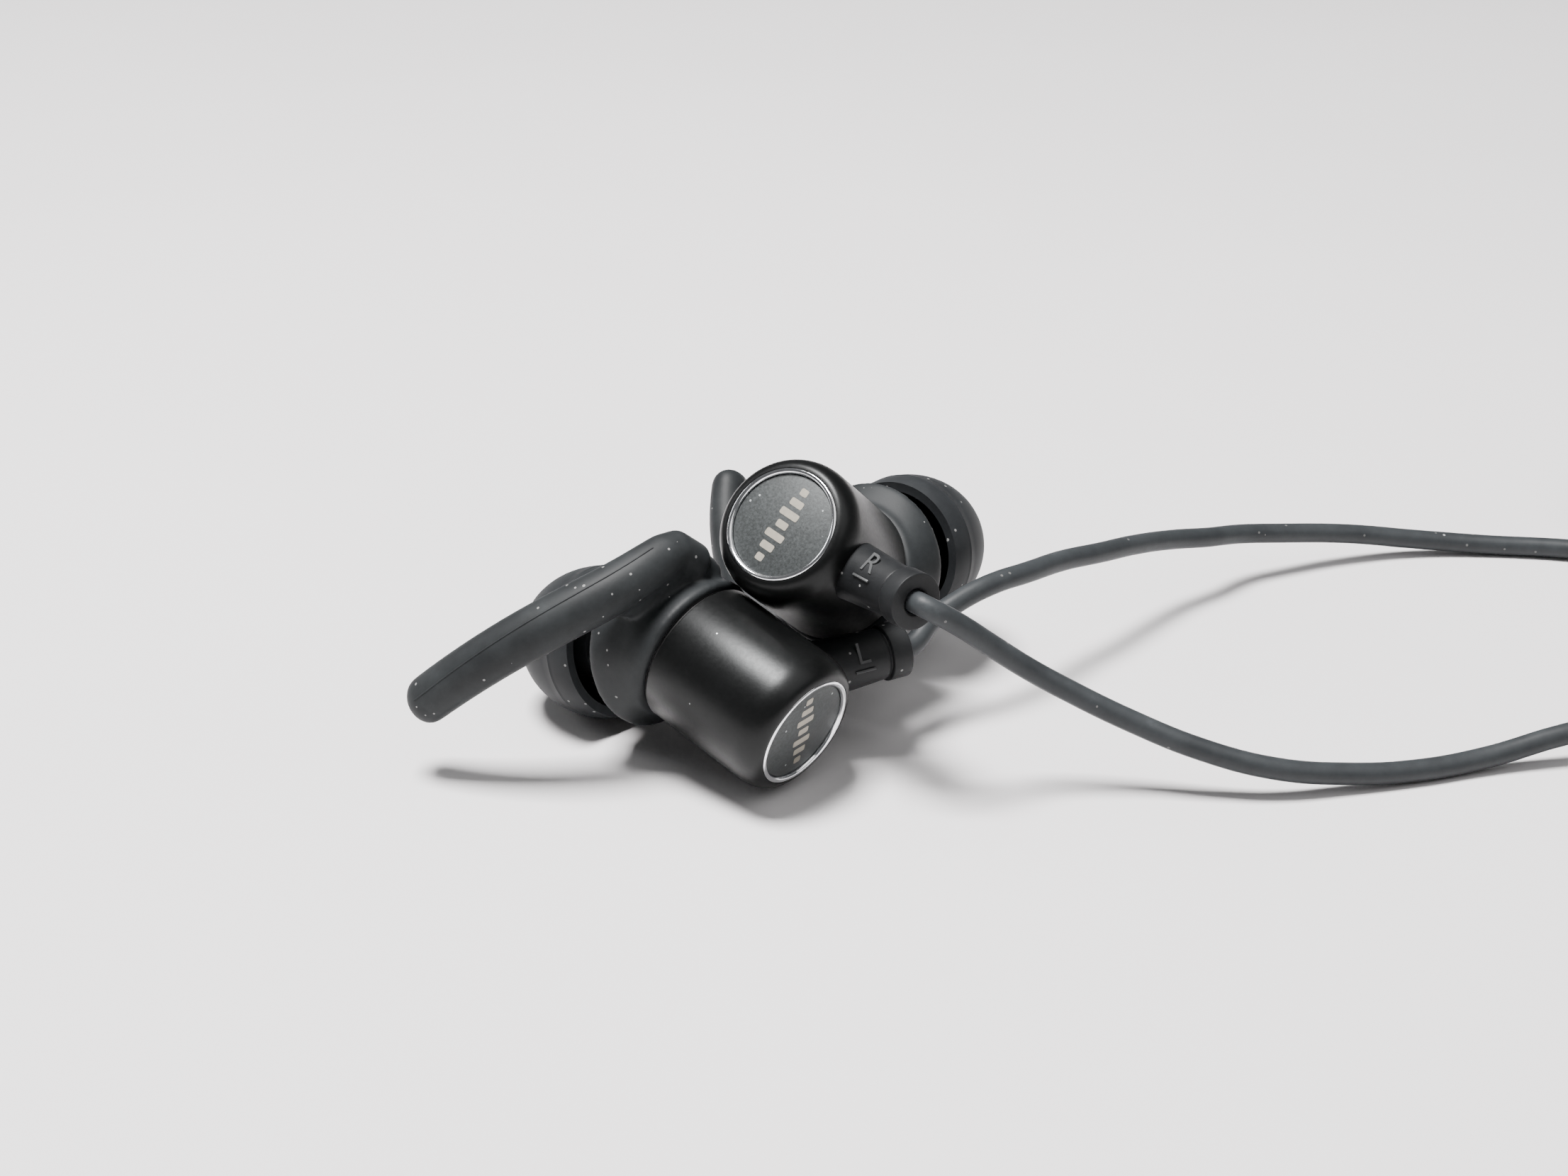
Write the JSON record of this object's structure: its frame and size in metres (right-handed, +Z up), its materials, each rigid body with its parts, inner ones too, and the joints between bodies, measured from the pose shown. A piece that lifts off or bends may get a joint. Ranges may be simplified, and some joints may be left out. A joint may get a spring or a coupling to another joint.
{
  "type": "neckband earphones",
  "caption": "In-ear neckband earphones with barrel bodies, soft tips, ear wings and a corded control pod, lying on a flat surface.",
  "frame": {"origin": "centre of the two earphones' footprint, on the surface that they lie on", "axes": "+Z up from the surface, +X towards the side where the cords leave the earphones, +Y away from the two back plates' viewing side"},
  "size_m": [0.1539, 0.0861, 0.0256],
  "materials": {
    "barrel_metal": "satin black anodised",
    "polished_ring": "polished",
    "back_plate": "matte slate grey",
    "magnet": "nickel plated",
    "seal_rubber": "matte",
    "shell_plastic": "matte",
    "mesh_metal": "fine woven",
    "driver_plastic": "matte",
    "yoke_steel": "plated",
    "coil_copper": "enamelled wire",
    "diaphragm_film": "glossy film",
    "tip_silicone": "matte",
    "wing_silicone": "matte",
    "boot_rubber": "matte",
    "cord_rubber": "matte",
    "pod_plastic": "fine matte",
    "board_green": "solder mask",
    "chip_black": "moulded",
    "battery_foil": "foil pouch",
    "switch_metal": "plated",
    "button_rubber": "matte",
    "port_metal": "plated",
    "clear_plastic": "frosted",
    "tie_plastic": "matte"
  },
  "bodies": {
    "housing": {"barrel_left": "barrel_metal", "ring_left": "polished_ring", "plate_left": "back_plate", "clasp_magnet_left": "magnet", "seal_left": "seal_rubber", "front_shell_left": "shell_plastic", "mesh_left": "mesh_metal", "driver_frame_left": "driver_plastic", "driver_yoke_left": "yoke_steel", "driver_magnet_left": "magnet", "ear_wing_left": "wing_silicone", "boot_left": "boot_rubber", "cord_stub_left": "cord_rubber", "barrel_right": "barrel_metal", "ring_right": "polished_ring", "plate_right": "back_plate", "clasp_magnet_right": "magnet", "seal_right": "seal_rubber", "front_shell_right": "shell_plastic", "mesh_right": "mesh_metal", "driver_frame_right": "driver_plastic", "driver_yoke_right": "yoke_steel", "driver_magnet_right": "magnet", "ear_wing_right": "wing_silicone", "boot_right": "boot_rubber", "cord_stub_right": "cord_rubber", "pod_bottom": "pod_plastic", "pod_top": "pod_plastic", "pod_board": "board_green", "pod_chips": "chip_black", "pod_battery": "battery_foil", "pod_switches": "switch_metal", "port_shell": "port_metal", "port_tongue": "chip_black", "light_pipe": "clear_plastic", "microphone": "switch_metal", "pod_boot_near": "boot_rubber", "pod_boot_far": "boot_rubber", "cord_right": "cord_rubber", "cord_left": "cord_rubber", "cord_coil": "cord_rubber", "cord_tail": "cord_rubber", "coil_tie": "tie_plastic"},
    "tip_left": {"ear_tip_left": "tip_silicone"},
    "tip_right": {"ear_tip_right": "tip_silicone"},
    "cone_left": {"diaphragm_left": "diaphragm_film", "voice_coil_left": "coil_copper"},
    "cone_right": {"diaphragm_right": "diaphragm_film", "voice_coil_right": "coil_copper"},
    "key_up": {"button_up": "button_rubber"},
    "key_play": {"button_play": "button_rubber"},
    "key_down": {"button_down": "button_rubber"},
    "port_cover": {"port_flap": "button_rubber"}
  },
  "joints": [
    {"name": "tip_left_pull", "type": "slide", "parent": "housing", "child": "tip_left", "axis": [-0.7301, 0.6391, -0.2419], "range_m": [0, 0.0055]},
    {"name": "tip_right_pull", "type": "slide", "parent": "housing", "child": "tip_right", "axis": [0.5561, 0.8124, -0.1754], "range_m": [0, 0.0055]},
    {"name": "cone_left_stroke", "type": "slide", "parent": "housing", "child": "cone_left", "axis": [-0.7233, 0.6332, 0.2756], "range_m": [-0.00015, 0.00015], "stiffness_N_per_m": 40},
    {"name": "cone_right_stroke", "type": "slide", "parent": "housing", "child": "cone_right", "axis": [0.4014, 0.6525, -0.6428], "range_m": [-0.00015, 0.00015], "stiffness_N_per_m": 40},
    {"name": "key_up_press", "type": "slide", "parent": "housing", "child": "key_up", "axis": [0, 0, -1], "range_m": [0, 0.0003], "stiffness_N_per_m": 600},
    {"name": "key_play_press", "type": "slide", "parent": "housing", "child": "key_play", "axis": [0, 0, -1], "range_m": [0, 0.0003], "stiffness_N_per_m": 600},
    {"name": "key_down_press", "type": "slide", "parent": "housing", "child": "key_down", "axis": [0, 0, -1], "range_m": [0, 0.0003], "stiffness_N_per_m": 600},
    {"name": "port_cover_hinge", "type": "hinge", "parent": "housing", "child": "port_cover", "pos_m": [0.12846, 0.01002, 0.0026], "axis": [0, 0, 1], "range_deg": [0, 110]}
  ]
}
